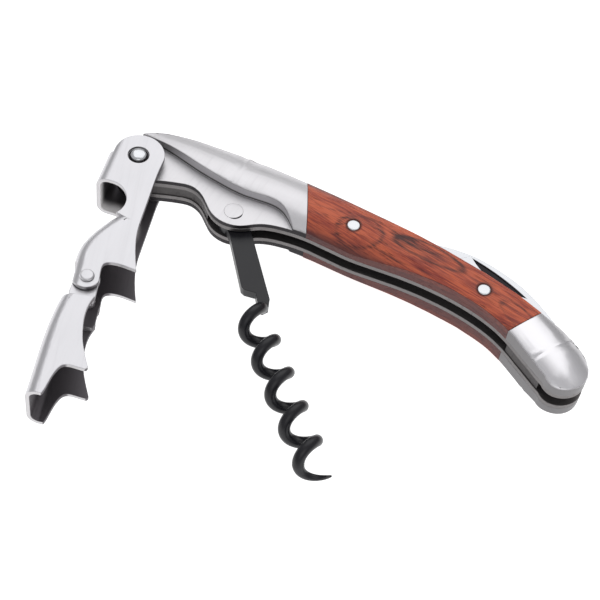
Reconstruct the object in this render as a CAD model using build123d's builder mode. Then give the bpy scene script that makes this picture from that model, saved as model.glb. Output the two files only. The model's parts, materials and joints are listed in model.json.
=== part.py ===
"""Two-step lever corkscrew with a curved wood handle, lever and worm open, blade closed.

Lengths in mm. The corkscrew lies on its side: +Z is the handle thickness, +X runs from
the head to the tail, +Y to the spine. Outlines are given from the head pin centre.
"""
import os

from build123d import *

# ---- frame -------------------------------------------------------------------------
HEAD_X = -56.67
HEAD_Y = 26.8

# ---- handle stack, measured from the mid-plane --------------------------------------
SLOT_HALF = 1.5
LINER_T = 1.2
RECESS_HALF = 4.0
CROWN_TOP = 7.3
CROWN_R = 11.5
CROWN_FOOT = -6.0
CROWN_HALF = 10.0
CROWN_SIDE = CROWN_TOP - CROWN_R + (CROWN_R**2 - CROWN_HALF**2) ** 0.5
PLY_FACE = SLOT_HALF + LINER_T

# ---- head and lever pivots ----------------------------------------------------------
HEAD_R = 5.3
HEAD_PIN_R = 1.95
HEAD_PIN_PROUD = 0.6
HEAD_RING_R = HEAD_PIN_R + 0.65
HEAD_RING_DEPTH = 0.55
WASHER_R = HEAD_PIN_R + 2.25
RUN = 0.05
SIDE_GAP = 0.3

# ---- lever channel ------------------------------------------------------------------
SHEET = 1.1
LEVER_HALF = 6.7
LEVER_IN = LEVER_HALF - SHEET
TAB_GAP = 0.25
TAB_OUT = LEVER_IN - TAB_GAP
TAB_IN = TAB_OUT - SHEET
BEND_OUT = 3.0
BEND_IN = BEND_OUT - SHEET
LINK = (8.0, -38.0)
LINK_PIN_R = 1.3
LINK_HEAD_R = LINK_PIN_R + 0.55
LINK_HEAD_H = 0.7
LINK_HEAD_TAPER = 28
LINK_INNER_H = 0.5
LINK_INNER_GAP = 0.1
EMBED = 0.2
# A slanted fold line makes the web thicker along X than across it.
HEAD_SLANT = 1.02
ARM_SLANT = 1.03
# The web is cut away round the head pin and round the link rivets.
WEB_CUT = (16.0, 12.0)
WEB_HEAD = (-4.0, 4.4)
WEB_EAR = (3.0, -40.8)
MID_Z = LEVER_HALF + LINK_HEAD_H

# ---- worm ---------------------------------------------------------------------------
WORM_PIVOT = (27.4, -1.8)
WORM_PIN_R = 2.3
WORM_ANGLE = -50.0
SHANK_GAP = 0.2
SHANK_HALF = SLOT_HALF - SHANK_GAP
HUB_R = 3.7
WIRE_R = 1.4
COIL_R = 3.0
COIL_PITCH = 9.4
COIL_TURNS = 5.0
TIP_TURNS = 0.5
COIL_START = (27.0, -1.85)
COIL_TILT = 6.0
TIP_R = 0.25

# ---- blade --------------------------------------------------------------------------
BLADE_PIVOT = (111.5, -1.0)
BLADE_GAP = 0.6
BLADE_HALF = SLOT_HALF - BLADE_GAP
BLADE_PIN_R = 1.5
TANG_R = 4.6
NICK_DEPTH = 0.45
TOOTH_PITCH = 1.7
TOOTH_R = 0.9
TOOTH_COUNT = 15
TOOTH_START = (75.6, 10.7)
TOOTH_SLOPE = 0.151

# ---- handle pins --------------------------------------------------------------------
SCALE_PINS = [(55.3, 6.7), (90.3, 4.9)]
SCALE_PIN_R = 1.55
PIN_RING = 0.2
PIN_RING_DEPTH = 0.25
PIN_EDGE = 0.25
NECK_RIVET = (14.0, 7.5)
TAIL_RIVET = (105.2, -3.6)
HIDDEN_R = 1.0
BLIND = 1.1
SPACER_INSET = 0.3

MID_PLANE = Plane(origin=(0, 0, MID_Z))

os.makedirs("parts", exist_ok=True)


def level(z):
    """Return the sketch plane at height z above the mid-plane, centred on the head pin."""
    return Plane(origin=(HEAD_X, HEAD_Y, MID_Z + z))


def mirrored(part):
    """Return the same piece on the other side of the mid-plane."""
    return mirror(part, about=MID_PLANE)


# ---- shared outlines, head pin centre as origin --------------------------------------
with BuildSketch() as handle_side:
    with BuildLine():
        Spline(
            (-4.59, 2.65), (-2.6, 7.4), (5.0, 11.5), (14.0, 13.4), (25.0, 14.8), (37.0, 15.0),
            (50.0, 14.1), (62.0, 13.3), (74.0, 12.4), (86.0, 10.6), (97.0, 8.4), (105.0, 6.2),
            (111.5, 4.5), (116.6, 2.1), (119.8, -1.6), (120.6, -5.8),
        )
        Spline((120.6, -5.8), (118.9, -9.4), (115.6, -11.1), (111.6, -9.6))
        Spline(
            (111.6, -9.6), (105.0, -5.7), (98.0, -1.7), (88.0, 1.1), (77.0, 1.9), (67.0, 1.3),
            (57.0, 0.3), (46.3, 0.5), (39.5, -0.4), (34.3, -2.4), (31.0, -4.9), (27.2, -6.0),
            (23.4, -5.2), (20.4, -2.9), (17.6, -0.8), (14.8, -0.1), (12.0, -0.7), (7.4, -2.5),
            (2.65, -4.59),
        )
        RadiusArc((2.65, -4.59), (-4.59, 2.65), HEAD_R, short_sagitta=True)
    make_face()

# Front bolster, wood and rear bolster share the outline, parted by these joint lines.
with BuildSketch() as front_zone:
    with BuildLine():
        Polyline((38.4, 16.5), (46.6, -1.0), (46.6, -20.0), (-20.0, -20.0), (-20.0, 16.5),
                 (38.4, 16.5))
    make_face()

with BuildSketch() as rear_zone:
    with BuildLine():
        ThreePointArc((105.6, 9.4), (102.4, 1.6), (98.4, -4.0))
        Polyline((98.4, -4.0), (98.4, -20.0), (130.0, -20.0), (130.0, 9.4), (105.6, 9.4))
    make_face()

# The dome stands above the flat recess that the lever's side plates fold into.
with BuildSketch() as dome_zone:
    with BuildLine():
        Spline((-6.0, 7.0), (1.7, 7.0), (7.5, 6.2), (14.1, 4.8), (20.7, 3.9), (28.0, 3.6),
               (33.4, 4.3), (37.2, 4.0), (40.4, 2.0), (43.4, -1.0))
        Polyline((43.4, -1.0), (60.0, -1.0), (60.0, 30.0), (-6.0, 30.0), (-6.0, 7.0))
    make_face()


# ---- crown: the rounded outer surface of bolsters and wood ----------------------------
with BuildPart() as crown:
    with BuildLine(level(0)) as crown_path:
        Spline((-10.0, 5.6, -2.2), (0.0, 6.0, -1.1), (10.0, 6.3, -0.3), (24.0, 6.8, 0.0),
               (46.0, 7.6, 0.0), (72.0, 7.4, 0.0), (88.0, 5.7, 0.0), (100.0, 2.7, 0.0),
               (110.0, -2.7, 0.0), (115.0, -5.8, -0.7), (119.0, -8.6, -2.2), (122.0, -10.7, -3.6))
    with BuildSketch(Plane(origin=crown_path.line @ 0, x_dir=(0, 0, 1),
                           z_dir=crown_path.line % 0)) as crown_section:
        with BuildLine():
            Line((CROWN_FOOT, -CROWN_HALF), (CROWN_FOOT, CROWN_HALF))
            Line((CROWN_FOOT, CROWN_HALF), (CROWN_SIDE, CROWN_HALF))
            RadiusArc((CROWN_SIDE, CROWN_HALF), (CROWN_SIDE, -CROWN_HALF), CROWN_R)
            Line((CROWN_SIDE, -CROWN_HALF), (CROWN_FOOT, -CROWN_HALF))
        make_face()
    sweep(path=crown_path.line)


# ---- handle: liners -----------------------------------------------------------------
with BuildPart() as near_liner:
    with BuildSketch(level(SLOT_HALF)):
        add(handle_side.sketch_local)
        Circle(HEAD_PIN_R, mode=Mode.SUBTRACT)
        with Locations(WORM_PIVOT):
            Circle(WORM_PIN_R, mode=Mode.SUBTRACT)
        with Locations(*SCALE_PINS):
            Circle(SCALE_PIN_R, mode=Mode.SUBTRACT)
        with Locations(BLADE_PIVOT):
            Circle(BLADE_PIN_R, mode=Mode.SUBTRACT)
        with Locations(NECK_RIVET, TAIL_RIVET):
            Circle(HIDDEN_R, mode=Mode.SUBTRACT)
    extrude(amount=LINER_T)
near_liner.part.label = "near_liner"
export_step(near_liner.part, "parts/near_liner.step")

with BuildPart() as far_liner:
    add(mirrored(near_liner.part))
far_liner.part.label = "far_liner"
export_step(far_liner.part, "parts/far_liner.step")

# ---- handle: bolsters and wood ------------------------------------------------------
with BuildPart() as near_front_bolster:
    with BuildSketch(level(PLY_FACE)):
        add(handle_side.sketch_local)
        add(front_zone.sketch_local, mode=Mode.INTERSECT)
        add(dome_zone.sketch_local, mode=Mode.INTERSECT)
    extrude(amount=CROWN_TOP)
    add(crown.part, mode=Mode.INTERSECT)
    with BuildSketch(level(PLY_FACE)):
        add(handle_side.sketch_local)
        add(front_zone.sketch_local, mode=Mode.INTERSECT)
    extrude(amount=RECESS_HALF - PLY_FACE)
    with BuildSketch(level(PLY_FACE)):
        Circle(HEAD_PIN_R)
        with Locations(WORM_PIVOT):
            Circle(WORM_PIN_R)
    extrude(amount=CROWN_TOP, mode=Mode.SUBTRACT)
    with BuildSketch(level(PLY_FACE)):
        with Locations(NECK_RIVET):
            Circle(HIDDEN_R)
    extrude(amount=BLIND, mode=Mode.SUBTRACT)
near_front_bolster.part.label = "near_front_bolster"
export_step(near_front_bolster.part, "parts/near_front_bolster.step")

with BuildPart() as far_front_bolster:
    add(mirrored(near_front_bolster.part))
far_front_bolster.part.label = "far_front_bolster"
export_step(far_front_bolster.part, "parts/far_front_bolster.step")

with BuildPart() as near_scale:
    with BuildSketch(level(PLY_FACE)):
        add(handle_side.sketch_local)
        add(front_zone.sketch_local, mode=Mode.SUBTRACT)
        add(rear_zone.sketch_local, mode=Mode.SUBTRACT)
    extrude(amount=CROWN_TOP)
    add(crown.part, mode=Mode.INTERSECT)
    with BuildSketch(level(PLY_FACE)):
        with Locations(*SCALE_PINS):
            Circle(SCALE_PIN_R)
    extrude(amount=CROWN_TOP, mode=Mode.SUBTRACT)
    with BuildSketch(level(CROWN_TOP - PIN_RING_DEPTH)):
        with Locations(*SCALE_PINS):
            Circle(SCALE_PIN_R + PIN_RING)
    extrude(amount=CROWN_TOP, mode=Mode.SUBTRACT)
near_scale.part.label = "near_scale"
export_step(near_scale.part, "parts/near_scale.step")

with BuildPart() as far_scale:
    add(mirrored(near_scale.part))
far_scale.part.label = "far_scale"
export_step(far_scale.part, "parts/far_scale.step")

with BuildPart() as near_rear_bolster:
    with BuildSketch(level(PLY_FACE)):
        add(handle_side.sketch_local)
        add(rear_zone.sketch_local, mode=Mode.INTERSECT)
    extrude(amount=CROWN_TOP)
    add(crown.part, mode=Mode.INTERSECT)
    with BuildSketch(level(PLY_FACE)):
        with Locations(BLADE_PIVOT):
            Circle(BLADE_PIN_R)
        with Locations(TAIL_RIVET):
            Circle(HIDDEN_R)
    extrude(amount=BLIND, mode=Mode.SUBTRACT)
near_rear_bolster.part.label = "near_rear_bolster"
export_step(near_rear_bolster.part, "parts/near_rear_bolster.step")

with BuildPart() as far_rear_bolster:
    add(mirrored(near_rear_bolster.part))
far_rear_bolster.part.label = "far_rear_bolster"
export_step(far_rear_bolster.part, "parts/far_rear_bolster.step")

# ---- handle: pieces between the liners ------------------------------------------------
with BuildPart() as neck_spacer:
    with BuildSketch(level(-SLOT_HALF)) as neck_face:
        add(handle_side.sketch_local)
        with Locations((0, SPACER_INSET)):
            add(handle_side.sketch_local, mode=Mode.INTERSECT)
        with BuildSketch(mode=Mode.PRIVATE) as neck_keep:
            with BuildLine():
                Polyline((-12.0, -12.0), (21.4, -12.0), (21.4, 1.5), (24.6, 5.0), (24.6, 30.0),
                         (-12.0, 30.0), (-12.0, -12.0))
            make_face()
        add(neck_keep.sketch_local, mode=Mode.INTERSECT)
        Circle(HEAD_PIN_R, mode=Mode.SUBTRACT)
        with Locations(NECK_RIVET):
            Circle(HIDDEN_R, mode=Mode.SUBTRACT)
    extrude(amount=2 * SLOT_HALF)
neck_spacer.part.label = "neck_spacer"
export_step(neck_spacer.part, "parts/neck_spacer.step")

with BuildPart() as back_spring:
    with BuildSketch(level(-SLOT_HALF)):
        with BuildLine():
            Spline((26.0, 14.5), (37.0, 14.7), (50.0, 13.8), (62.0, 13.0))
            Spline((62.0, 13.0), (70.0, 10.8), (80.0, 8.6), (90.0, 7.4), (98.0, 5.2),
                   (105.4, 1.4))
            Spline((105.4, 1.4), (106.3, 0.0), (105.6, -1.0))
            Spline((105.6, -1.0), (98.0, 1.5), (90.0, 2.8), (76.0, 4.2), (55.0, 4.2),
                   (40.0, 4.6), (26.0, 5.4))
            Line((26.0, 5.4), (26.0, 14.5))
        make_face()
        with Locations(*SCALE_PINS):
            Circle(SCALE_PIN_R, mode=Mode.SUBTRACT)
    extrude(amount=2 * SLOT_HALF)
back_spring.part.label = "back_spring"
export_step(back_spring.part, "parts/back_spring.step")

with BuildPart() as tail_spacer:
    with BuildSketch(level(-SLOT_HALF)):
        add(handle_side.sketch_local)
        with Locations((0, SPACER_INSET)):
            add(handle_side.sketch_local, mode=Mode.INTERSECT)
        with BuildSketch(mode=Mode.PRIVATE) as tail_keep:
            with BuildLine():
                Polyline((99.6, -10.0), (100.6, -1.0), (104.0, -1.9), (108.6, -5.9),
                         (111.2, -8.0), (110.0, -12.0), (99.6, -10.0))
            make_face()
        add(tail_keep.sketch_local, mode=Mode.INTERSECT)
        with Locations(TAIL_RIVET):
            Circle(HIDDEN_R, mode=Mode.SUBTRACT)
    extrude(amount=2 * SLOT_HALF)
tail_spacer.part.label = "tail_spacer"
export_step(tail_spacer.part, "parts/tail_spacer.step")

# ---- handle: pins ---------------------------------------------------------------------
with BuildPart() as head_pin:
    with BuildSketch(level(-LEVER_HALF - HEAD_PIN_PROUD)):
        Circle(HEAD_PIN_R)
    extrude(amount=2 * (LEVER_HALF + HEAD_PIN_PROUD))
    fillet(head_pin.edges().filter_by(GeomType.CIRCLE), radius=HEAD_PIN_PROUD)
head_pin.part.label = "head_pin"
export_step(head_pin.part, "parts/head_pin.step")

with BuildPart() as head_washers:
    for side in (-1, 1):
        with BuildSketch(level(side * RECESS_HALF)):
            Circle(WASHER_R)
            Circle(HEAD_PIN_R, mode=Mode.SUBTRACT)
        extrude(amount=side * (LEVER_IN - SIDE_GAP - RECESS_HALF))
head_washers.part.label = "head_washers"
export_step(head_washers.part, "parts/head_washers.step")

with BuildPart() as worm_pin:
    with BuildSketch(level(-RECESS_HALF)):
        with Locations(WORM_PIVOT):
            Circle(WORM_PIN_R)
    extrude(amount=2 * RECESS_HALF)
worm_pin.part.label = "worm_pin"
export_step(worm_pin.part, "parts/worm_pin.step")

with BuildPart() as blade_pin:
    with BuildSketch(level(-PLY_FACE - BLIND)):
        with Locations(BLADE_PIVOT):
            Circle(BLADE_PIN_R)
    extrude(amount=2 * (PLY_FACE + BLIND))
blade_pin.part.label = "blade_pin"
export_step(blade_pin.part, "parts/blade_pin.step")

with BuildPart() as neck_rivet:
    with BuildSketch(level(-PLY_FACE - BLIND)):
        with Locations(NECK_RIVET):
            Circle(HIDDEN_R)
    extrude(amount=2 * (PLY_FACE + BLIND))
neck_rivet.part.label = "neck_rivet"
export_step(neck_rivet.part, "parts/neck_rivet.step")

with BuildPart() as tail_rivet:
    with BuildSketch(level(-PLY_FACE - BLIND)):
        with Locations(TAIL_RIVET):
            Circle(HIDDEN_R)
    extrude(amount=2 * (PLY_FACE + BLIND))
tail_rivet.part.label = "tail_rivet"
export_step(tail_rivet.part, "parts/tail_rivet.step")

with BuildPart() as scale_pins:
    with BuildSketch(level(-CROWN_TOP)):
        with Locations(*SCALE_PINS):
            Circle(SCALE_PIN_R)
    extrude(amount=2 * CROWN_TOP)
    fillet(scale_pins.edges().filter_by(GeomType.CIRCLE), radius=PIN_EDGE)
scale_pins.part.label = "scale_pins"
export_step(scale_pins.part, "parts/scale_pins.step")

# ---- upper lever link -----------------------------------------------------------------
with BuildSketch() as upper_side:
    with BuildLine():
        # head arc and the edge that faces the handle
        Line((-9.5, -1.6), (-6.1, -1.6))
        ThreePointArc((-6.1, -1.6), (0.2, 6.45), (6.3, 1.0))
        Spline((6.3, 1.0), (7.2, -4.0), (8.7, -10.0), (10.4, -17.0), (11.4, -20.5),
               (13.6, -25.4), (17.0, -30.9))
        # bottle-lip step and ear
        Spline((17.0, -30.9), (14.4, -31.1), (11.6, -31.6), (9.6, -32.9), (9.8, -34.8),
               (11.1, -38.3))
        ThreePointArc((11.1, -38.3), (8.4, -41.25), (4.6, -39.2))
        # spine below the crown-cap notch, left to the bent blank
        Polyline((4.6, -39.2), (0.0, -34.0), (0.0, -24.0), (4.3, -18.3))
        # crown-cap notch
        Spline((4.3, -18.3), (4.9, -16.0), (4.4, -13.6), (2.6, -11.4), (0.2, -10.4),
               (-2.2, -10.6), (-4.7, -11.2))
        Polyline((-4.7, -11.2), (-9.5, -12.2), (-9.5, -1.6))
    make_face()

with BuildSketch() as head_fold:
    with BuildLine():
        Polyline((-8.9, 6.4), (-3.9, -18.4), (25.0, -18.4), (25.0, 8.0), (-8.9, 8.0),
                 (-8.9, 6.4))
    make_face()

with BuildSketch() as ear_fold:
    with BuildLine():
        Spline((4.3, -18.4), (2.0, -25.6), (1.7, -31.0), (3.1, -36.0), (5.0, -42.0))
        Polyline((5.0, -42.0), (25.0, -42.0), (25.0, -18.4), (4.3, -18.4))
    make_face()

# Bent sheet: each fold is an outer and an inner block with the same bend centre.
with BuildPart() as head_blank:
    with BuildSketch(level(-LEVER_HALF)):
        add(head_fold.sketch_local)
    extrude(amount=2 * LEVER_HALF)
    for side in (-1, 1):
        spine = Vector(HEAD_X - 6.4, HEAD_Y - 6.4, MID_Z + side * LEVER_HALF)
        fillet(head_blank.edges().sort_by_distance(spine)[0], radius=BEND_OUT)

with BuildPart() as head_core:
    with BuildSketch(level(-LEVER_IN)):
        with Locations((SHEET * HEAD_SLANT, 0)):
            add(head_fold.sketch_local)
    extrude(amount=2 * LEVER_IN)
    for side in (-1, 1):
        spine = Vector(HEAD_X - 5.3, HEAD_Y - 6.4, MID_Z + side * LEVER_IN)
        fillet(head_core.edges().sort_by_distance(spine)[0], radius=BEND_IN)

with BuildPart() as ear_blank:
    with BuildSketch(level(-LEVER_HALF)):
        add(ear_fold.sketch_local)
    extrude(amount=2 * LEVER_HALF)
    for side in (-1, 1):
        spine = Vector(HEAD_X + 1.8, HEAD_Y - 29.0, MID_Z + side * LEVER_HALF)
        fillet(ear_blank.edges().sort_by_distance(spine)[0], radius=BEND_OUT)

with BuildPart() as ear_core:
    with BuildSketch(level(-LEVER_IN)):
        with Locations((SHEET * HEAD_SLANT, 0)):
            add(ear_fold.sketch_local)
    extrude(amount=2 * LEVER_IN)
    for side in (-1, 1):
        spine = Vector(HEAD_X + 2.9, HEAD_Y - 29.0, MID_Z + side * LEVER_IN)
        fillet(ear_core.edges().sort_by_distance(spine)[0], radius=BEND_IN)

with BuildPart() as upper_lever:
    add(head_blank.part)
    add(ear_blank.part)
    with BuildSketch(level(-LEVER_HALF)):
        add(upper_side.sketch_local)
    extrude(amount=2 * LEVER_HALF, mode=Mode.INTERSECT)
    add(head_core.part, mode=Mode.SUBTRACT)
    add(ear_core.part, mode=Mode.SUBTRACT)
    with BuildSketch(level(-LEVER_IN)):
        with Locations(WEB_HEAD, WEB_EAR):
            Rectangle(*WEB_CUT)
    extrude(amount=2 * LEVER_IN, mode=Mode.SUBTRACT)
    with BuildSketch(level(-LEVER_HALF)):
        Circle(HEAD_PIN_R + RUN)
        with Locations(LINK):
            Circle(LINK_PIN_R)
    extrude(amount=2 * LEVER_HALF, mode=Mode.SUBTRACT)
    for side in (-1, 1):
        with BuildSketch(level(side * LEVER_HALF)):
            Circle(HEAD_RING_R)
        extrude(amount=-side * HEAD_RING_DEPTH, mode=Mode.SUBTRACT)
upper_lever.part.label = "upper_lever"
export_step(upper_lever.part, "parts/upper_lever.step")

# ---- lower lever link -----------------------------------------------------------------
with BuildSketch() as lower_side:
    with BuildLine():
        Line((5.2, -44.8), (12.5, -42.1))
        Spline((12.5, -42.1), (12.8, -46.5), (14.3, -50.4), (16.6, -54.3), (19.0, -57.3),
               (20.7, -59.2))
        ThreePointArc((20.7, -59.2), (20.9, -60.0), (20.3, -60.4))
        Spline((20.3, -60.4), (17.6, -60.9), (15.9, -61.7), (15.3, -63.6), (15.4, -66.8),
               (15.6, -70.4))
        Polyline((15.6, -70.4), (9.0, -72.2), (2.0, -50.0), (2.0, -46.0), (5.2, -44.8))
    make_face()

with BuildSketch() as arm_fold:
    with BuildLine():
        Spline((13.0, -75.6), (8.5, -60.1), (6.0, -50.4), (4.9, -40.0))
        Polyline((4.9, -40.0), (30.0, -40.0), (30.0, -75.6), (13.0, -75.6))
    make_face()

with BuildSketch() as tab_side:
    with BuildLine():
        Polyline((7.6, -45.1), (6.0, -42.8), (5.0, -38.0))
        ThreePointArc((5.0, -38.0), (8.0, -35.0), (11.0, -38.0))
        Polyline((11.0, -38.0), (12.4, -42.1), (12.6, -43.4), (7.6, -45.1))
    make_face()

with BuildPart() as arm_blank:
    with BuildSketch(level(-LEVER_HALF)):
        add(arm_fold.sketch_local)
    extrude(amount=2 * LEVER_HALF)
    for side in (-1, 1):
        spine = Vector(HEAD_X + 7.4, HEAD_Y - 56.0, MID_Z + side * LEVER_HALF)
        fillet(arm_blank.edges().sort_by_distance(spine)[0], radius=BEND_OUT)

with BuildPart() as arm_core:
    with BuildSketch(level(-LEVER_IN)):
        with Locations((SHEET * ARM_SLANT, 0)):
            add(arm_fold.sketch_local)
    extrude(amount=2 * LEVER_IN)
    for side in (-1, 1):
        spine = Vector(HEAD_X + 8.5, HEAD_Y - 56.0, MID_Z + side * LEVER_IN)
        fillet(arm_core.edges().sort_by_distance(spine)[0], radius=BEND_IN)

with BuildPart() as lower_lever:
    add(arm_blank.part)
    with BuildSketch(level(-LEVER_HALF)):
        add(lower_side.sketch_local)
    extrude(amount=2 * LEVER_HALF, mode=Mode.INTERSECT)
    add(arm_core.part, mode=Mode.SUBTRACT)
    for side in (-1, 1):
        # offset bend that carries the side plates in between those of the upper link
        with BuildSketch(level(side * TAB_IN)):
            add(lower_side.sketch_local)
            add(arm_fold.sketch_local, mode=Mode.INTERSECT)
            with BuildSketch(mode=Mode.PRIVATE) as bend_band:
                with BuildLine():
                    Polyline((7.6, -44.1), (12.6, -42.0), (12.8, -43.4), (7.6, -45.4),
                             (7.6, -44.1))
                make_face()
            add(bend_band.sketch_local, mode=Mode.INTERSECT)
        extrude(amount=side * (LEVER_HALF - TAB_IN))
        with BuildSketch(level(side * TAB_IN)):
            add(tab_side.sketch_local)
            with Locations(LINK):
                Circle(LINK_PIN_R + RUN, mode=Mode.SUBTRACT)
        extrude(amount=side * SHEET)
lower_lever.part.label = "lower_lever"
export_step(lower_lever.part, "parts/lower_lever.step")

with BuildPart() as link_rivets:
    for side in (-1, 1):
        with BuildSketch(level(side * (TAB_IN - LINK_INNER_GAP - LINK_INNER_H))):
            with Locations(LINK):
                Circle(LINK_HEAD_R)
        extrude(amount=side * LINK_INNER_H)
        with BuildSketch(level(side * (TAB_IN - EMBED))):
            with Locations(LINK):
                Circle(LINK_PIN_R)
        extrude(amount=side * (LEVER_HALF - TAB_IN + 2 * EMBED))
        with BuildSketch(level(side * LEVER_HALF)):
            with Locations(LINK):
                Circle(LINK_HEAD_R)
        extrude(amount=side * LINK_HEAD_H, taper=LINK_HEAD_TAPER)
link_rivets.part.label = "link_rivets"
export_step(link_rivets.part, "parts/link_rivets.step")

# ---- worm -----------------------------------------------------------------------------
SHANK = Plane(level(0).origin + Vector(*WORM_PIVOT)).rotated((0, 0, WORM_ANGLE))
COIL = Plane(
    origin=SHANK.from_local_coords(Vector(*COIL_START)),
    x_dir=SHANK.y_dir.rotate(Axis.Z, COIL_TILT),
    z_dir=SHANK.x_dir.rotate(Axis.Z, COIL_TILT),
)
BODY_TURNS = COIL_TURNS - TIP_TURNS
TIP = Plane(
    origin=COIL.origin + COIL.z_dir * (BODY_TURNS * COIL_PITCH),
    x_dir=COIL.x_dir * -1,
    z_dir=COIL.z_dir,
)

with BuildLine() as coil_path:
    Helix(COIL_PITCH, BODY_TURNS * COIL_PITCH, COIL_R)
coil_curve = coil_path.line.moved(COIL.location)

with BuildLine() as tip_path:
    Helix(COIL_PITCH, TIP_TURNS * COIL_PITCH, COIL_R)
tip_curve = tip_path.line.moved(TIP.location)

with BuildPart() as worm:
    with BuildSketch(SHANK.offset(-SHANK_HALF)):
        Circle(HUB_R)
        with BuildLine():
            Polyline((-0.5, -3.0), (4.8, -1.9), (20.6, -2.5), (21.6, -1.9), (22.9, 0.45),
                     (25.6, 0.3), (26.8, -0.1), (27.8, 1.1), (27.3, 2.6), (25.2, 3.35),
                     (6.0, 3.5), (0.0, 3.5), (-0.5, -3.0))
        make_face()
        Circle(WORM_PIN_R + RUN, mode=Mode.SUBTRACT)
    extrude(amount=2 * SHANK_HALF)
    with BuildSketch(Plane(origin=coil_curve @ 0, z_dir=coil_curve % 0)):
        Circle(WIRE_R)
    sweep(path=coil_curve, is_frenet=True)
    with Locations(coil_curve @ 0):
        Sphere(WIRE_R)
    with BuildSketch(Plane(origin=tip_curve @ 0, z_dir=tip_curve % 0)) as tip_root:
        Circle(WIRE_R)
    with BuildSketch(Plane(origin=tip_curve @ 1, z_dir=tip_curve % 1)) as tip_end:
        Circle(TIP_R)
    sweep(sections=[tip_root.sketch, tip_end.sketch], path=tip_curve, multisection=True,
          is_frenet=True)
worm.part.label = "worm"
export_step(worm.part, "parts/worm.step")

# ---- foil blade -----------------------------------------------------------------------
BLADE_FACE = level(BLADE_HALF)

with BuildPart() as foil_blade:
    with BuildSketch(level(-BLADE_HALF)):
        with BuildLine():
            Spline((114.6, 2.4), (112.8, 5.2), (108.0, 9.2), (103.6, 12.0), (96.8, 15.3),
                   (89.8, 17.1), (84.4, 17.8), (78.0, 17.3), (71.5, 15.6), (69.6, 14.4),
                   (70.6, 13.2), (74.5, 11.2))
            Polyline((74.5, 11.2), (101.0, 7.2))
            Spline((101.0, 7.2), (104.6, 5.2), (107.3, 1.2))
            Line((107.3, 1.2), (114.6, 2.4))
        make_face()
        with Locations(BLADE_PIVOT):
            Circle(TANG_R)
            Circle(BLADE_PIN_R + RUN, mode=Mode.SUBTRACT)
        with Locations(*[(TOOTH_START[0] + n * TOOTH_PITCH,
                          TOOTH_START[1] - n * TOOTH_PITCH * TOOTH_SLOPE)
                         for n in range(TOOTH_COUNT)]):
            Circle(TOOTH_R, mode=Mode.SUBTRACT)
    extrude(amount=2 * BLADE_HALF)
    with BuildSketch(BLADE_FACE):
        with BuildLine():
            ThreePointArc((83.6, 17.0), (91.8, 15.2), (99.4, 12.5))
            ThreePointArc((99.4, 12.5), (90.8, 13.1), (83.6, 17.0))
        make_face()
    extrude(amount=-NICK_DEPTH, mode=Mode.SUBTRACT)
foil_blade.part.label = "foil_blade"
export_step(foil_blade.part, "parts/foil_blade.step")
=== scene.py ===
"""Looks of the folding lever corkscrew: steel, coating and wood finishes with painted shade and
painted highlights, pins, studio.

Lengths are in metres, in the frame of the design: +Z through the handle, +X to the tail,
+Y to the spine.
"""
import json
import logging
import math
from dataclasses import dataclass, field, replace
from enum import Enum

import bpy
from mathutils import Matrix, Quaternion, Vector
from mathutils.bvhtree import BVHTree


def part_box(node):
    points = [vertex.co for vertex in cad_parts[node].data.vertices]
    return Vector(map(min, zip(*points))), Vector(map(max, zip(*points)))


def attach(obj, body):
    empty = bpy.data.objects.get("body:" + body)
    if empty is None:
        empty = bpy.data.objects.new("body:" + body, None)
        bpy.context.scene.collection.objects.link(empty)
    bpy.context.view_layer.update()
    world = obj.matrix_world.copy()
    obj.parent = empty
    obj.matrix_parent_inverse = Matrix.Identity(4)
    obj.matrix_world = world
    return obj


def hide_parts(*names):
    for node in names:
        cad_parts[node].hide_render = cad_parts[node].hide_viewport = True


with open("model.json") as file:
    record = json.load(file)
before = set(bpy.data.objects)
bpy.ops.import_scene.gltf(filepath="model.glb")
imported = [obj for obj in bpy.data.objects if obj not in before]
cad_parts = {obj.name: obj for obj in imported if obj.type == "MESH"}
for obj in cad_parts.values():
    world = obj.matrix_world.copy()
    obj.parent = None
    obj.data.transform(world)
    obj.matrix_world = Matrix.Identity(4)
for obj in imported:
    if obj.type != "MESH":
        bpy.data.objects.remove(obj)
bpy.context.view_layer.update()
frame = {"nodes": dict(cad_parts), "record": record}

LOG = logging.getLogger("corkscrew")
MM = 0.001
MERGE = 0.05 * MM
FLAT_ANGLE = 2.0
SMOOTH_ANGLE = 40.0
PIN_RING = 1.75 * MM
SCALE_PIN_R = 1.55 * MM
# Colour of the painted shade in grooves, in the blade's nick and in the gaps round pins.
GROOVE_SHADE = (0.022, 0.021, 0.023)
# Painted highlight inside the lever near the notch's mouth: its reach, its fade and its colour.
MOUTH_REACH = 6.0 * MM
MOUTH_FADE = 3.0 * MM
MOUTH_HIGHLIGHT = (0.93, 0.91, 0.91)
STEP_FADE = (0.25 * MM, 0.9 * MM)
PIT_FADE = 0.10 * MM
RING_FADE = 0.6 * MM
SEAM_TIP = 0.02 * MM
ROUND_STEPS = 72

Colour = tuple[float, float, float]
Cells = tuple[float, float, float]


def middle(node: str) -> Vector:
    """Return the centre of a design node's box.

    Args:
        node: Name of the node.

    Returns:
        The centre, in metres.
    """
    low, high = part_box(node)
    return (low + high) / 2


MID_Z = middle("head_pin").z


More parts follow.
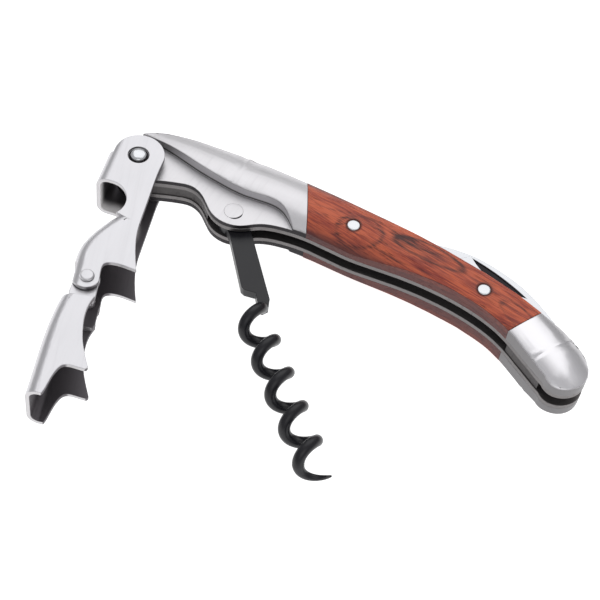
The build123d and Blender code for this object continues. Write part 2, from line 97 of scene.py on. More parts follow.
# ---- shader expressions ---------------------------------------------------------------
class Value:
    """A number that varies over a surface, usable in Python expressions."""

    def __init__(self, surface: "Tree", socket: bpy.types.NodeSocket) -> None:
        """Wrap one output socket of a node tree."""
        self.surface = surface
        self.socket = socket

    def math(self, operation: str, *others: "Value | float", first: bool = True) -> "Value":
        """Combine this value with others in a Math node.

        Args:
            operation: The Math node's operation.
            others: The remaining operands.
            first: Whether this value is the first operand, or the last one.

        Returns:
            The node's result.
        """
        operands = [self, *others] if first else [*others, self]
        node = self.surface.node("ShaderNodeMath", {"operation": operation},
                                 dict(enumerate(operands)))
        return Value(self.surface, node.outputs[0])

    def __add__(self, other: "Value | float") -> "Value":
        """Add."""
        return self.math("ADD", other)

    def __radd__(self, other: float) -> "Value":
        """Add to a number."""
        return self.math("ADD", other)

    def __sub__(self, other: "Value | float") -> "Value":
        """Subtract."""
        return self.math("SUBTRACT", other)

    def __rsub__(self, other: float) -> "Value":
        """Subtract from a number."""
        return self.math("SUBTRACT", other, first=False)

    def __mul__(self, other: "Value | float") -> "Value":
        """Multiply."""
        return self.math("MULTIPLY", other)

    def __rmul__(self, other: float) -> "Value":
        """Multiply a number."""
        return self.math("MULTIPLY", other)

    def __truediv__(self, other: "Value | float") -> "Value":
        """Divide."""
        return self.math("DIVIDE", other)

    def __pow__(self, other: float) -> "Value":
        """Raise to a power."""
        return self.math("POWER", other)

    def sine(self) -> "Value":
        """Return the sine."""
        return self.math("SINE")

    def size(self) -> "Value":
        """Return the absolute value."""
        return self.math("ABSOLUTE")

    def top(self, other: "Value | float") -> "Value":
        """Return the larger of the two."""
        return self.math("MAXIMUM", other)

    def fade(self, low: float, high: float) -> "Value":
        """Return 0 below low and 1 above high, with a smooth step between."""
        node = self.surface.node("ShaderNodeMapRange", {"interpolation_type": "SMOOTHSTEP"},
                                 {0: self, 1: low, 2: high})
        return Value(self.surface, node.outputs[0])

    def hill(self) -> "Value":
        """Return e to the power of minus this value."""
        return Value(self.surface, self.surface.node(
            "ShaderNodeMath", {"operation": "POWER"}, {0: math.e, 1: self * -1.0}).outputs[0])


class Tree:
    """A node tree, to which every node is added in the same way."""

    def __init__(self, tree: bpy.types.NodeTree) -> None:
        """Wrap a node tree."""
        self.tree = tree

    def node(self, kind: str, settings: dict, inputs: dict) -> bpy.types.Node:
        """Add one node.

        Args:
            kind: The node's type.
            settings: Its own settings; "stops" are a ramp's positions and colours.
            inputs: Socket name or number to a value, a colour, a socket or a Value.

        Returns:
            The new node.
        """
        made = self.tree.nodes.new(kind)
        stops = settings.get("stops")
        for key, setting in settings.items():
            if key != "stops":
                setattr(made, key, setting)
        if stops:
            while len(made.color_ramp.elements) < len(stops):
                made.color_ramp.elements.new(0.5)
            for element, (place, colour) in zip(made.color_ramp.elements, stops):
                element.position = place
                element.color = (*colour, 1.0)
        for key, given in inputs.items():
            given = given.socket if isinstance(given, Value) else given
            if isinstance(given, bpy.types.NodeSocket):
                self.tree.links.new(given, made.inputs[key])
            else:
                made.inputs[key].default_value = given
        return made

    def split(self, socket: bpy.types.NodeSocket) -> tuple[Value, Value, Value]:
        """Return a vector's three parts."""
        parts = self.node("ShaderNodeSeparateXYZ", {}, {0: socket}).outputs
        return Value(self, parts[0]), Value(self, parts[1]), Value(self, parts[2])


class Surface(Tree):
    """The node tree of one material, with its shader and its coordinates."""

    def __init__(self, name: str) -> None:
        """Start a material with a Principled shader.

        Args:
            name: The material's name.
        """
        self.material = bpy.data.materials.new(name)
        self.material.use_nodes = True
        super().__init__(self.material.node_tree)
        self.shader = next(n for n in self.tree.nodes if n.type == "BSDF_PRINCIPLED")
        self.coordinates = self.node("ShaderNodeTexCoord", {}, {})
        place = self.split(self.coordinates.outputs["Object"])
        faces = self.node("ShaderNodeNewGeometry", {}, {})
        self.x, self.y, self.z = place
        self.nx, self.ny, _ = self.split(self.coordinates.outputs["Normal"])
        self.nz = self.split(faces.outputs["True Normal"])[2]

    def noise(self, stretch: tuple[float, float, float], detail: float = 3.0,
              turn: float = 0.0) -> Value:
        """Return a noise between 0 and 1, in object coordinates.

        Args:
            stretch: Cells per metre along the turned X, Y and Z.
            detail: Octaves of the noise.
            turn: Angle of its X axis about Z, in degrees.

        Returns:
            The noise.
        """
        turned = self.node("ShaderNodeMapping", {"vector_type": "POINT"}, {
            "Vector": self.coordinates.outputs["Object"],
            "Rotation": (0.0, 0.0, -math.radians(turn))})
        scaled = self.node("ShaderNodeVectorMath", {"operation": "MULTIPLY"},
                           {0: turned.outputs[0], 1: stretch})
        made = self.node("ShaderNodeTexNoise", {}, {
            "Vector": scaled.outputs[0], "Scale": 1.0, "Detail": detail, "Roughness": 0.6})
        return Value(self, made.outputs["Fac"])

    def mix(self, share: Value, low: "Colour | bpy.types.NodeSocket",
            high: "Colour | bpy.types.NodeSocket") -> bpy.types.NodeSocket:
        """Return a colour between two colours.

        Args:
            share: Share of the second colour, from 0 to 1.
            low: The first colour.
            high: The second colour.

        Returns:
            The mixed colour's socket.
        """
        ends = [(*c, 1.0) if isinstance(c, tuple) else c for c in (low, high)]
        made = self.node("ShaderNodeMix", {"data_type": "RGBA"},
                         {0: share, 6: ends[0], 7: ends[1]})
        return made.outputs[2]

    def dress(self, constants: dict, varied: dict, bump: Value | None = None,
              depth: float = 0.0) -> bpy.types.Material:
        """Set the shader's sockets.

        Args:
            constants: Socket name to a value that is the same all over.
            varied: Socket name to a Value or a colour socket.
            bump: Height of the surface's relief, from 0 to 1.
            depth: Height of that relief, in metres.

        Returns:
            The finished material.
        """
        for name, value in constants.items():
            self.shader.inputs[name].default_value = value
        for name, given in varied.items():
            socket = given.socket if isinstance(given, Value) else given
            self.tree.links.new(socket, self.shader.inputs[name])
        if bump is not None:
            relief = self.node("ShaderNodeBump", {}, {"Height": bump, "Distance": depth,
                                                      "Strength": 1.0})
            self.tree.links.new(relief.outputs[0], self.shader.inputs["Normal"])
        return self.material


# ---- finishes, with painted shade and painted highlights --------------------------------
class Brushing(Enum):
    """Which way a steel surface was brushed, in degrees from the handle's length."""

    ALONG_HANDLE = 0.0
    ALONG_LEVER = -78.0
    ACROSS_HANDLE = 82.0


@dataclass(frozen=True)
class SeamShade:
    """Painted shade in the gap round a pin: a whole ring, or only the arc of it that stands open."""

    centre: Vector
    radius: float
    width: float
    middle_angle: float = 0.0
    half_angle: float = 180.0

    def mask(self, surface: Surface) -> Value:
        """Draw the painted shade in the gap, which tapers to the ends of its arc.

        Args:
            surface: The material that it shows in.

        Returns:
            1 in the seam and 0 outside it.
        """
        dx, dy = surface.x - self.centre.x, surface.y - self.centre.y
        far = (dx * dx + dy * dy) ** 0.5
        width = surface.x * 0.0 + self.width
        if self.half_angle < 180.0:
            angle = math.radians(self.middle_angle)
            lean = (dx * math.cos(angle) + dy * math.sin(angle)) / far
            share = lean.fade(math.cos(math.radians(self.half_angle)), 1.0)
            width = SEAM_TIP + self.width * share
        return 1.0 - ((far - self.radius).size() / width).fade(0.5, 1.0)


@dataclass(frozen=True)
class Steel:
    """Brushed or polished steel. Faces that turn from outward are darker, partly for the duller
    finish of cut edges and partly as painted shade; the spine side and grooves get painted shade,
    inner faces are partly unpolished and partly painted shade, and by the lever's notch they get a
    painted highlight.
    """

    name: str
    face: Colour
    # Colour of faces that turn from outward: partly the duller finish of cut edges, partly painted
    # shade.
    edge: Colour
    roughness: float
    brushing: Brushing = Brushing.ALONG_HANDLE
    relief: float = 0.004 * MM
    mottle: float = 0.08
    # Colour of inner faces: partly duller unpolished steel, partly painted shade.
    inside: Colour | None = None
    grain: float = 1.0
    slope: tuple[float, float] = (0.10, 0.40)
    # Share of painted shade on the spine side.
    spine: float = 0.0
    # Painted shade in the gap round a pin.
    seam_shade: SeamShade | None = None
    step: float | None = None
    # Height below which outward faces get painted shade, for the nick.
    pit: float | None = None
    # Centre of the notch's mouth, round which inner faces get a painted highlight.
    mouth: Vector | None = None
    streak_cells: Cells = (90.0, 2600.0, 500.0)
    cloud_cells: Cells = (90.0, 160.0, 160.0)
    scratch_cells: Cells = (50.0, 3200.0, 400.0)
    scratch_turn: float = 9.0
    back_fade: tuple[float, float] = (0.15, 0.75)
    lining_fade: tuple[float, float] = (0.2, 0.6)
    wall_fade: tuple[float, float] = (0.3, 0.6)
    scratch_fade: tuple[float, float] = (0.66, 0.74)

    def material(self) -> bpy.types.Material:
        """Make the material.

        Returns:
            The finished material.
        """
        surface = Surface(self.name)
        streaks = surface.noise(self.streak_cells, 3.0, self.brushing.value)
        clouds = surface.noise(self.cloud_cells, 3.0, self.brushing.value)
        scratches = surface.noise(self.scratch_cells, 0.0,
                                  self.brushing.value + self.scratch_turn)
        # Faces that turn from outward take the edge colour: partly the duller finish of cut edges,
        # partly painted shade.
        outward = surface.nz * (surface.z - MID_Z).math("SIGN")
        flat = outward.fade(*self.slope)
        colour = surface.mix(flat, self.edge, self.face)
        # Painted shade on the spine side.
        back = surface.ny.fade(*self.back_fade)
        colour = surface.mix(back * self.spine, colour, self.edge)
        inner = surface.x * 0.0
        # Inner faces take the inside colour: partly unpolished steel, partly painted shade.
        if self.inside:
            wall = surface.nx.fade(*self.wall_fade) * (1.0 - flat)
            lining = (0.0 - outward).fade(*self.lining_fade).top(wall)
            inside = self.inside
            # Near the notch's mouth, inner faces get a painted highlight: lighter, less metallic and
            # rougher.
            if self.mouth:
                near = (surface.x - self.mouth.x) ** 2.0 + (surface.y - self.mouth.y) ** 2.0
                lit = 1.0 - (near ** 0.5).fade(MOUTH_REACH, MOUTH_REACH + MOUTH_FADE)
                inside = surface.mix(lit, self.inside, MOUTH_HIGHLIGHT)
                inner = lit * lining
            colour = surface.mix(lining, colour, inside)
        height = (surface.z - MID_Z).size()
        # Above the step height, sloping faces keep the face colour, so the painted wall shade stays
        # at the step and below it.
        if self.step:
            above = height.fade(self.step + STEP_FADE[0], self.step + STEP_FADE[1])
            colour = surface.mix(above * (1.0 - flat), colour, self.face)
        # Painted shade in the sunk faces of the nick.
        if self.pit:
            sunk = (1.0 - height.fade(self.pit - PIT_FADE, self.pit)) * flat
            colour = surface.mix(sunk, colour, GROOVE_SHADE)
        # Painted shade in the gap round a pin.
        if self.seam_shade:
            colour = surface.mix(self.seam_shade.mask(surface), colour, GROOVE_SHADE)
        tone = 1.0 - (self.mottle * (clouds + streaks) - self.mottle)
        shaded = surface.node("ShaderNodeVectorMath", {"operation": "SCALE"},
                              {0: colour, 3: tone})
        worn = 0.14 * (streaks - 0.5) + 0.12 * scratches.fade(*self.scratch_fade)
        rough = (self.roughness + 0.10 * self.grain * (clouds - 0.5) + self.grain * worn
                 + 0.12 * (1.0 - flat) + 0.25 * inner)
        return surface.dress({}, {"Base Color": shaded.outputs[0], "Roughness": rough,
                                  "Metallic": 1.0 - 0.85 * inner}, streaks, self.relief)


@dataclass(frozen=True)
class Coating:
    """Satin black non-stick coating with faint orange peel and rubbed spots."""

    name: str
    base: Colour = (0.004, 0.004, 0.007)
    rubbed: Colour = (0.010, 0.010, 0.014)
    roughness: float = 0.34
    peel_cells: Cells = (2600.0, 2600.0, 2600.0)
    patch_cells: Cells = (260.0, 260.0, 260.0)
    peel_depth: float = 0.006 * MM

    def material(self) -> bpy.types.Material:
        """Make the material.

        Returns:
            The finished material.
        """
        surface = Surface(self.name)
        peel = surface.noise(self.peel_cells, 2.0)
        patches = surface.noise(self.patch_cells, 3.0)
        worn = patches.fade(0.55, 0.75) * 0.6
        return surface.dress(
            {"Metallic": 0.0, "IOR": 1.46},
            {"Base Color": surface.mix(worn, self.base, self.rubbed),
             "Roughness": self.roughness + 0.14 * (patches - 0.5) + 0.08 * (peel - 0.5)},
            peel, self.peel_depth)


@dataclass(frozen=True)
class Eye:
    """A figure in the wood that the growth lines run round."""

    x: float
    y: float
    long: float
    wide: float
    lift: float
    dark: float
    rim: float = 0.0


@dataclass(frozen=True)
class RedWood:
    """Dyed laminated hardwood, with growth lines that follow the handle's curve."""

    name: str
    centre: Vector
    eyes: tuple[Eye, ...]
    pins: tuple[Vector, ...]
    arch: float = 5.5
    spacing: float = 2.6 * MM
    light: Colour = (0.62, 0.125, 0.050)
    middle: Colour = (0.27, 0.034, 0.022)
    dark: Colour = (0.065, 0.014, 0.012)
    # Colour of the painted shade low on the wood's sides and on its belly side.
    wood_side_shade: Colour = (0.055, 0.012, 0.014)
    grain_turn: float = -8.0
    drift_cells: Cells = (34.0, 130.0, 130.0)
    ragged_cells: Cells = (260.0, 1500.0, 1500.0)
    strength_cells: Cells = (60.0, 300.0, 300.0)
    broad_cells: Cells = (55.0, 420.0, 300.0)
    fibre_cells: Cells = (170.0, 3000.0, 1500.0)
    pore_cells: Cells = (300.0, 4300.0, 4300.0)
    side_shade_heights: tuple[float, float] = (4.6 * MM, 6.4 * MM)
    belly_fade: tuple[float, float] = (0.25, 0.85)

    def material(self) -> bpy.types.Material:
        """Make the material.

        Returns:
            The finished material.
        """
        surface = Surface(self.name)
        along = surface.x - self.centre.x
        across = surface.y - self.centre.y + self.arch * along * along
        drift = surface.noise(self.drift_cells, 3.0) - 0.5
        ragged = surface.noise(self.ragged_cells, 4.0) - 0.5
        growth = across + 5.0 * MM * drift + 0.9 * MM * ragged
        shade = across * 0.0
        for eye in self.eyes:
            far = ((along - eye.x) / eye.long) ** 2.0 + (
                (across - eye.y) / eye.wide + 0.7 * drift + 0.3 * ragged) ** 2.0
            growth = growth + eye.lift * far.hill()
            shade = shade + eye.dark * (far * 1.1).hill() + eye.rim * (
                (far - 1.0) * (far - 1.0) * 14.0).hill()
        rings = (growth * (math.tau / self.spacing)).sine() * 0.5 + 0.5
        strength = surface.noise(self.strength_cells, 3.0).fade(0.35, 0.65)
        lines = rings ** 7.0 * (0.15 + 0.85 * strength)
        broad = surface.noise(self.broad_cells, 3.0, self.grain_turn)
        fibre = surface.noise(self.fibre_cells, 5.0, self.grain_turn)
        pores = surface.noise(self.pore_cells, 1.0, self.grain_turn).fade(0.58, 0.66)
        mellow = (2.2 * (broad - 0.5) + 2.4 * (fibre - 0.5) + 0.42).fade(0.0, 1.0)
        tone = surface.mix(mellow, self.light, self.middle)
        ink = (0.5 * lines + shade + 0.5 * pores * strength + 1.1 * (fibre - 0.5)).fade(
            0.0, 1.0)
        figured = surface.mix(ink, tone, self.dark)
        # Painted shade: darker low on the sides, near the liners, and on the belly side.
        height = (surface.z - MID_Z).size() + 0.8 * MM * drift
        deep = 1.0 - height.fade(*self.side_shade_heights)
        belly = (0.0 - surface.ny).fade(*self.belly_fade)
        colour = surface.mix((deep * 0.9).top(belly * 0.8), figured, self.wood_side_shade)
        for pin in self.pins:
            dx, dy = surface.x - pin.x, surface.y - pin.y
            ring = 1.0 - ((dx * dx + dy * dy) ** 0.5).fade(PIN_RING, PIN_RING + RING_FADE)
            colour = surface.mix(ring * 0.75, colour, self.dark)
        return surface.dress(
            {"Metallic": 0.0, "IOR": 1.45, "Coat Roughness": 0.3},
            {"Base Color": colour, "Roughness": 0.5 + 0.18 * pores + 0.10 * (fibre - 0.5),
             "Coat Weight": 0.10 - 0.06 * pores},
            1.0 - (0.6 * pores + 0.4 * lines), 0.02 * MM)


# ---- shaping ------------------------------------------------------------------------------
def select_only(piece: bpy.types.Object) -> None:
    """Make a piece the only selected object, and the active one.

    Args:
        piece: The piece.
    """
    bpy.ops.object.select_all(action="DESELECT")
    piece.select_set(True)
    bpy.context.view_layer.objects.active = piece


def finish_piece(piece: bpy.types.Object, material: bpy.types.Material, body: str,
                 slot: str, *nodes: str) -> None:
    """Dress a finished piece and join it to the frame.

    Args:
        piece: The piece, with its place in its mesh.
        material: Its finish.
        body: The body it moves with.
        slot: The record's material slot; not used.
        nodes: The design nodes it stands for.
    """
    piece.data.materials.clear()
    piece.data.materials.append(material)
    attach(piece, body)
    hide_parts(*nodes)
    LOG.info("%s: %d faces, on %s", piece.name, len(piece.data.polygons), body)


def settle_strays(piece: bpy.types.Object, node: str, reach: float) -> None:
    """Put corners that a bevel threw off the surface back on it.

    Args:
        piece: The bevelled piece.
        node: The design node that it was copied from.
        reach: How far a corner may lie from the node's surface.
    """
    mesh = frame["nodes"][node].data
    surface = BVHTree.FromPolygons([v.co[:] for v in mesh.vertices],
                                   [p.vertices[:] for p in mesh.polygons])
    for vertex in piece.data.vertices:
        nearest, _, _, distance = surface.find_nearest(vertex.co)
        if distance > reach:
            vertex.co = nearest


def weigh_edges(piece: bpy.types.Object, sharp: float, height: float, low: float) -> None:
    """Mark a piece's sharp edges for the bevel, the lower ones more lightly.

    Args:
        piece: The piece.
        sharp: Angle above which an edge counts as sharp, in degrees.
        height: Distance from the mid-plane above which an edge has its full ease.
        low: Share of the ease for an edge below that.
    """
    select_only(piece)
    bpy.ops.object.mode_set(mode="EDIT")
    bpy.ops.mesh.select_mode(type="EDGE")
    bpy.ops.mesh.select_all(action="DESELECT")
    bpy.ops.mesh.edges_select_sharp(sharpness=math.radians(sharp))
    bpy.ops.object.mode_set(mode="OBJECT")
    mesh = piece.data
    weights = mesh.attributes.new("bevel_weight_edge", "FLOAT", "EDGE")
    for edge in mesh.edges:
        if edge.select:
            lowest = min(abs(mesh.vertices[v].co.z - MID_Z) for v in edge.vertices)
            weights.data[edge.index].value = 1.0 if lowest > height else low


def eased_copy(node: str, name: str, ease: float, sharp: float = 50.0,
               height: float = 0.0, low: float = 1.0) -> bpy.types.Object:
    """Copy a design node and ease its sharp edges, as tumbling or filing leaves them.

    Args:
        node: The design node.
        name: The new piece's name.
        ease: Width of the eased edge.
        sharp: Angle above which an edge is eased, in degrees.
        height: Distance from the mid-plane above which edges get the whole ease.
        low: Share of the ease for the edges below that.

    Returns:
        The new piece.
    """
    piece = bpy.data.objects.new(name, frame["nodes"][node].data.copy())
    bpy.context.scene.collection.objects.link(piece)
    select_only(piece)
    bpy.ops.mesh.customdata_custom_splitnormals_clear()
    bpy.ops.object.mode_set(mode="EDIT")
    bpy.ops.mesh.select_all(action="SELECT")
    bpy.ops.mesh.remove_doubles(threshold=MERGE)
    bpy.ops.mesh.dissolve_degenerate(threshold=MERGE / 2)
    bpy.ops.mesh.dissolve_limited(angle_limit=math.radians(FLAT_ANGLE))
    bpy.ops.object.mode_set(mode="OBJECT")
    weigh_edges(piece, sharp, height, low)
    bevel = piece.modifiers.new("ease", "BEVEL")
    bevel.width = ease
    bevel.segments = 3
    bevel.limit_method = "WEIGHT"
    bevel.use_clamp_overlap = False
    bpy.ops.object.modifier_apply(modifier=bevel.name)
    settle_strays(piece, node, 0.4 * ease)
    bpy.ops.object.shade_smooth_by_angle(angle=math.radians(SMOOTH_ANGLE))
    weighted = piece.modifiers.new("even", "WEIGHTED_NORMAL")
    weighted.keep_sharp = True
    bpy.ops.object.modifier_apply(modifier=weighted.name)
    return piece


def turned_pin(name: str, at: Vector, radius: float, low: float, high: float,
               rise: float, rim: float, steps: int = 7) -> bpy.types.Object:
    """Model a round pin with rounded heads.

    Args:
        name: The piece's name.
        at: A point on its axis; only X and Y are used.
        radius: Its radius.
        low: Height of its lower end.
        high: Height of its upper end.
        rise: How much of each end is its domed head.
        rim: Width of the dome's slope at the rim, as a share of the radius.
        steps: Rings in each dome.

    Returns:
        The new piece.
    """
    bpy.ops.object.select_all(action="DESELECT")
    bpy.ops.mesh.primitive_cylinder_add(
        vertices=ROUND_STEPS, radius=radius, depth=high - low - 2 * rise,
        location=(at.x, at.y, (low + high) / 2), end_fill_type="NGON")
    piece = bpy.context.active_object
    piece.name = name
    bpy.ops.object.transform_apply(location=True, rotation=True, scale=True)
    bpy.ops.object.mode_set(mode="EDIT")
    bpy.ops.mesh.select_all(action="DESELECT")
    bpy.ops.object.mode_set(mode="OBJECT")
    for face in piece.data.polygons:
        face.select = abs(face.normal.z) > 0.9
    bpy.ops.object.mode_set(mode="EDIT")
    bpy.ops.mesh.select_mode(type="FACE")
    reach = radius * rim
    for step in range(steps):
        before, after = (math.pi / 2 * (step + k) / steps for k in (0, 1))
        bpy.ops.mesh.inset(thickness=reach * (math.cos(before) - math.cos(after)),
                           depth=rise * (math.sin(after) - math.sin(before)))
    bpy.ops.object.mode_set(mode="OBJECT")
    bpy.ops.object.shade_smooth_by_angle(angle=math.radians(SMOOTH_ANGLE))
    return piece


def joined(name: str, pieces: list[bpy.types.Object]) -> bpy.types.Object:
    """Join several pieces into one mesh and name it.

    Args:
        name: The joined piece's name.
        pieces: The pieces, of which the first one stays.

    Returns:
        The joined piece.
    """
    select_only(pieces[0])
    for piece in pieces:
        piece.select_set(True)
    bpy.ops.object.join()
    pieces[0].name = name
    return pieces[0]


# ---- the corkscrew --------------------------------------------------------------------------
def pin_places() -> tuple[Vector, Vector]:
    """Find the axes of the two pins through the wood.

    Returns:
        The front pin's place and the rear pin's.
    """
    low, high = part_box("scale_pins")
    return (Vector((low.x + SCALE_PIN_R, high.y - SCALE_PIN_R, MID_Z)),
            Vector((high.x - SCALE_PIN_R, low.y + SCALE_PIN_R, MID_Z)))


@dataclass
class Handle:
    """Liners, bolsters, wood and the pieces between them."""

    body: str = "handle"
    bolster_ease: float = 0.28 * MM
    top_height: float = 4.3 * MM
    low_share: float = 0.3
    scale_ease: float = 0.12 * MM
    liner_ease: float = 0.10 * MM
    spacer_ease: float = 0.08 * MM
    flush: float = 0.01 * MM
    # The bolsters' dark side walls are partly duller cut edges and partly painted shade; their spine
    # sides, and the rear's dome as it turns away, get painted shade.
    front: Steel = Steel("satin_bolster_steel", (0.66, 0.65, 0.665), (0.045, 0.042, 0.045), 0.42,
                         Brushing.ACROSS_HANDLE, relief=0.003 * MM, mottle=0.04, grain=0.6,
                         spine=0.10)
    rear: Steel = Steel("polished_bolster_steel", (0.72, 0.71, 0.73), (0.20, 0.195, 0.20), 0.28,
                        relief=0.0002 * MM, mottle=0.01, grain=0.12, slope=(0.15, 0.80),
                        spine=0.85)
    liner: Steel = Steel("liner_steel", (0.30, 0.29, 0.29), (0.20, 0.19, 0.19), 0.34,
                         relief=0.006 * MM, mottle=0.16)
    spring: Steel = Steel("spring_steel", (0.16, 0.15, 0.15), (0.10, 0.095, 0.095), 0.42,
                          relief=0.006 * MM, mottle=0.2)

    def wood(self) -> RedWood:
        """Describe the wood, with its figure placed from the pins.

        Returns:
            The wood finish.
        """
        first, second = pin_places()
        centre = Vector((first.x + 15.0 * MM, first.y + 1.0 * MM, MID_Z))
        eyes = (Eye(-13.0 * MM, -0.8 * MM, 5.6 * MM, 4.6 * MM, -3.0 * MM, 0.0, 0.44),
                Eye(-2.0 * MM, 1.7 * MM, 3.6 * MM, 1.5 * MM, 1.0 * MM, 0.46),
                Eye(4.5 * MM, 0.9 * MM, 9.0 * MM, 2.5 * MM, 2.0 * MM, 0.38, 0.52),
                Eye(20.0 * MM, 0.4 * MM, 3.2 * MM, 2.6 * MM, 1.0 * MM, 0.42),
                Eye(31.0 * MM, -1.0 * MM, 6.0 * MM, 2.4 * MM, -2.2 * MM, 0.10, 0.36))
        return RedWood("red_laminated_wood", centre, eyes, (first, second))

    def pin_seam_shade(self) -> SeamShade:
        """Return the painted shade of the open stretch round the worm pin."""
        low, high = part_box("worm_pin")
        return SeamShade(middle("worm_pin"), (high.x - low.x) / 2, 0.26 * MM, -40.0, 55.0)

    def build(self) -> None:
        """Make and dress every piece of the handle."""
        # The front bolster gets painted shade in the open stretch round the worm pin; above the step
        # height its sloping faces keep the face colour.
        front = replace(self.front, seam_shade=self.pin_seam_shade(),
                        step=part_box("worm_pin")[1].z - MID_Z).material()
        rear = self.rear.material()
        liner, wood = self.liner.material(), self.wood().material()
        spring = self.spring.material()
        for side in ("near", "far"):
            for part, ease, dress, slot in (
                    ("front_bolster", self.bolster_ease, front, "satin_steel"),
                    ("rear_bolster", self.bolster_ease, rear, "polished_steel"),
                    ("scale", self.scale_ease, wood, "red_wood"),
                    ("liner", self.liner_ease / self.low_share, liner, "liner_steel")):
                node = f"{side}_{part}"
                piece = eased_copy(node, f"{node}_eased", ease, 50.0, self.top_height,
                                   self.low_share)
                finish_piece(piece, dress, self.body, slot, node)
        low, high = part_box("worm_pin")
        piece = turned_pin("worm_pin_flush", middle("worm_pin"), (high.x - low.x) / 2, low.z,
                           high.z, self.flush, 0.02, 2)
        finish_piece(piece, front, self.body, "satin_steel", "worm_pin")
        for node in ("neck_spacer", "back_spring", "tail_spacer", "head_washers"):
            finish_piece(eased_copy(node, f"{node}_eased", self.spacer_ease), spring,
                         self.body, "spring_steel" if node == "back_spring"
                         else "liner_steel", node)


@dataclass
class Pins:
    """Every pin and rivet of the handle."""

    body: str = "handle"
    steel: Steel = Steel("pin_steel", (0.62, 0.63, 0.65), (0.45, 0.45, 0.46), 0.2,
                         relief=0.001 * MM, mottle=0.05, grain=0.3)
    head_rise: float = 0.6 * MM
    head_rim: float = 0.8
    broken_edge: float = 0.04 * MM
    broken_rim: float = 0.06
    scale_rise: float = 0.2 * MM
    scale_rim: float = 0.55

    def build(self) -> None:
        """Make and dress the pins."""
        steel = self.steel.material()
        low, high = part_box("head_pin")
        radius = (high.x - low.x) / 2
        piece = turned_pin("head_pin_domed", middle("head_pin"), radius, low.z, high.z,
                           self.head_rise, self.head_rim)
        finish_piece(piece, steel, self.body, "pin_steel", "head_pin")
        for node in ("blade_pin", "neck_rivet", "tail_rivet"):
            low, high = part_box(node)
            piece = turned_pin(f"{node}_turned", middle(node), (high.x - low.x) / 2,
                               low.z, high.z, self.broken_edge, self.broken_rim)
            finish_piece(piece, steel, self.body, "pin_steel", node)
        low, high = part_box("scale_pins")
        pins = [turned_pin(f"scale_pin_{k}", at, SCALE_PIN_R, low.z, high.z, self.scale_rise,
                           self.scale_rim) for k, at in enumerate(pin_places())]
        finish_piece(joined("scale_pins_domed", pins), steel, self.body, "pin_steel",
                     "scale_pins")


@dataclass
class Lever:
    """The two lever links and the rivets between them."""

    ease: float = 0.14 * MM
    rivet_ease: float = 0.25 * MM
    # Radius and width of the painted shade ring round the head pin.
    ring: tuple[float, float] = (2.25 * MM, 0.34 * MM)
    # Inner faces get painted shade, and a painted highlight by the notch's mouth.
    steel: Steel = Steel("lever_steel", (0.62, 0.615, 0.635), (0.60, 0.59, 0.60), 0.38,
                         Brushing.ALONG_LEVER, relief=0.002 * MM, mottle=0.03,
                         inside=(0.15, 0.14, 0.15), grain=0.5)

    def build(self) -> None:
        """Make and dress the links and their rivets."""
        notch = next(o for o in frame["record"]["physics"]["openings"]
                     if o["name"] == "cap_notch")
        low, high = (Vector(corner) for corner in notch["box_m"])
        # Painted shade in the ring round the head pin, and a painted highlight on inner faces by the
        # notch's mouth.
        steel = replace(self.steel, seam_shade=SeamShade(middle("head_pin"), *self.ring),
                        mouth=(low + high) / 2).material()
        for node in ("upper_lever", "lower_lever"):
            finish_piece(eased_copy(node, f"{node}_eased", self.ease), steel, node,
                         "lever_steel", node)
        finish_piece(eased_copy("link_rivets", "link_rivets_eased", self.rivet_ease), steel,
                     "upper_lever", "lever_steel", "link_rivets")


@dataclass
class Worm:
    """The black coil and its shank."""

    ease: float = 0.12 * MM
    coating: Coating = Coating("black_worm_coating")

    def build(self) -> None:
        """Make and dress the worm."""
        finish_piece(eased_copy("worm", "worm_coated", self.ease),
                     self.coating.material(), "worm", "black_coating", "worm")


@dataclass
class FoilBlade:
    """The polished serrated blade."""

    ease: float = 0.22 * MM
    nick_depth: float = 0.15 * MM
    # Dark side walls: partly duller cut edges, partly painted shade.
    steel: Steel = Steel("blade_steel", (0.58, 0.59, 0.61), (0.04, 0.04, 0.05), 0.14,
                         relief=0.001 * MM, mottle=0.03, grain=0.3)

    def build(self) -> None:
        """Make and dress the blade."""
        low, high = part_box("foil_blade")
        # Painted shade in the nick, below the blade's top.
        steel = replace(self.steel, pit=(high.z - low.z) / 2 - self.nick_depth).material()
        finish_piece(eased_copy("foil_blade", "foil_blade_eased", self.ease), steel,
                     "foil_blade", "blade_steel", "foil_blade")


# ---- studio ---------------------------------------------------------------------------------
@dataclass(frozen=True)
class Softbox:
    """A square soft light that faces the corkscrew."""

    name: str
    place: tuple[float, float, float]
    side: float
    power: float

    def build(self) -> None:
        """Hang the light."""
        light = bpy.data.lights.new(self.name, "AREA")
        light.shape = "SQUARE"
        light.size = self.side
        light.energy = self.power
        lamp = bpy.data.objects.new(self.name, light)
        bpy.context.scene.collection.objects.link(lamp)
        lamp.location = self.place
        lamp.rotation_mode = "QUATERNION"
        lamp.rotation_quaternion = (-Vector(self.place)).to_track_quat("-Z", "Y")


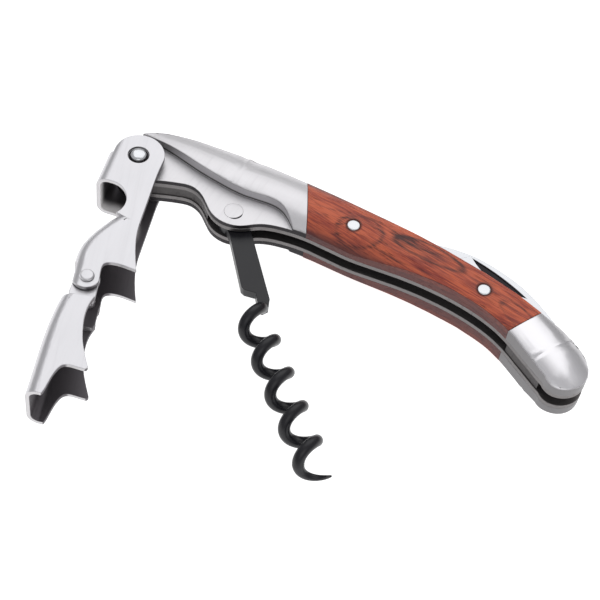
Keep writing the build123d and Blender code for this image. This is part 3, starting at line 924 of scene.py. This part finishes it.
@dataclass
class Studio:
    """Pale floor, soft lights and the camera."""

    eye: tuple[float, float, float] = (0.0685, -0.2012, 0.3154)
    aim: tuple[float, float, float] = (-0.00448, 0.01203, 0.0074)
    roll: float = 9.08
    lens: float = 96.8
    floor_side: float = 6.0
    floor: Colour = (0.50, 0.50, 0.50)
    floor_spots: Colour = (0.53, 0.53, 0.53)
    clip: tuple[float, float] = (0.01, 20.0)
    horizon: Colour = (0.42, 0.42, 0.425)
    zenith: Colour = (0.55, 0.55, 0.56)
    band: tuple[float, float] = (0.25, 0.75)
    floor_drop: float = 0.2 * MM
    floor_light: float = 0.92
    lights: list[Softbox] = field(default_factory=lambda: [
        Softbox("overhead_softbox", (-0.22, 0.62, 0.88), 1.20, 4.1),
        Softbox("front_softbox", (0.35, -0.75, 0.9), 0.8, 1.6)])

    def build(self) -> None:
        """Set up the floor, the sky, the lights and the camera."""
        bpy.ops.object.select_all(action="DESELECT")
        bpy.ops.mesh.primitive_plane_add(size=self.floor_side, location=(0.0, 0.0, -self.floor_drop))
        floor = bpy.context.active_object
        floor.name = "floor"
        surface = Surface("pale_floor")
        grain = surface.noise((6.0, 6.0, 6.0), 2.0)
        floor.data.materials.append(surface.dress(
            {"Roughness": 0.9, "Emission Strength": self.floor_light, "Emission Color": (1, 1, 1, 1)},
            {"Base Color": surface.mix(grain, self.floor, self.floor_spots)}))
        world = bpy.data.worlds.new("studio_sky")
        world.use_nodes = True
        sky = Tree(world.node_tree)
        place = sky.node("ShaderNodeTexCoord", {}, {})
        height = sky.split(place.outputs["Generated"])[2]
        stops = ((self.band[0], self.horizon), (self.band[1], self.zenith))
        ramp = sky.node("ShaderNodeValToRGB", {"stops": stops}, {0: height})
        background = sky.tree.nodes["Background"]
        sky.tree.links.new(ramp.outputs[0], background.inputs["Color"])
        bpy.context.scene.world = world
        bpy.context.scene.view_settings.view_transform = "Standard"
        for light in self.lights:
            light.build()
        camera = bpy.data.objects.new("camera", bpy.data.cameras.new("camera"))
        bpy.context.scene.collection.objects.link(camera)
        camera.data.lens = self.lens
        camera.data.clip_start, camera.data.clip_end = self.clip
        camera.location = self.eye
        camera.rotation_mode = "QUATERNION"
        look = (Vector(self.aim) - Vector(self.eye)).to_track_quat("-Z", "Y")
        camera.rotation_quaternion = look @ Quaternion((0.0, 0.0, 1.0),
                                                       math.radians(self.roll))
        bpy.context.scene.camera = camera


def main() -> None:
    """Build the corkscrew and its studio, in order."""
    logging.basicConfig(level=logging.INFO, format="%(message)s")
    for assembly in (Handle(), Pins(), Lever(), Worm(), FoilBlade(), Studio()):
        assembly.build()
        LOG.info("%s done", type(assembly).__name__)


if __name__ == "__main__":
    main()
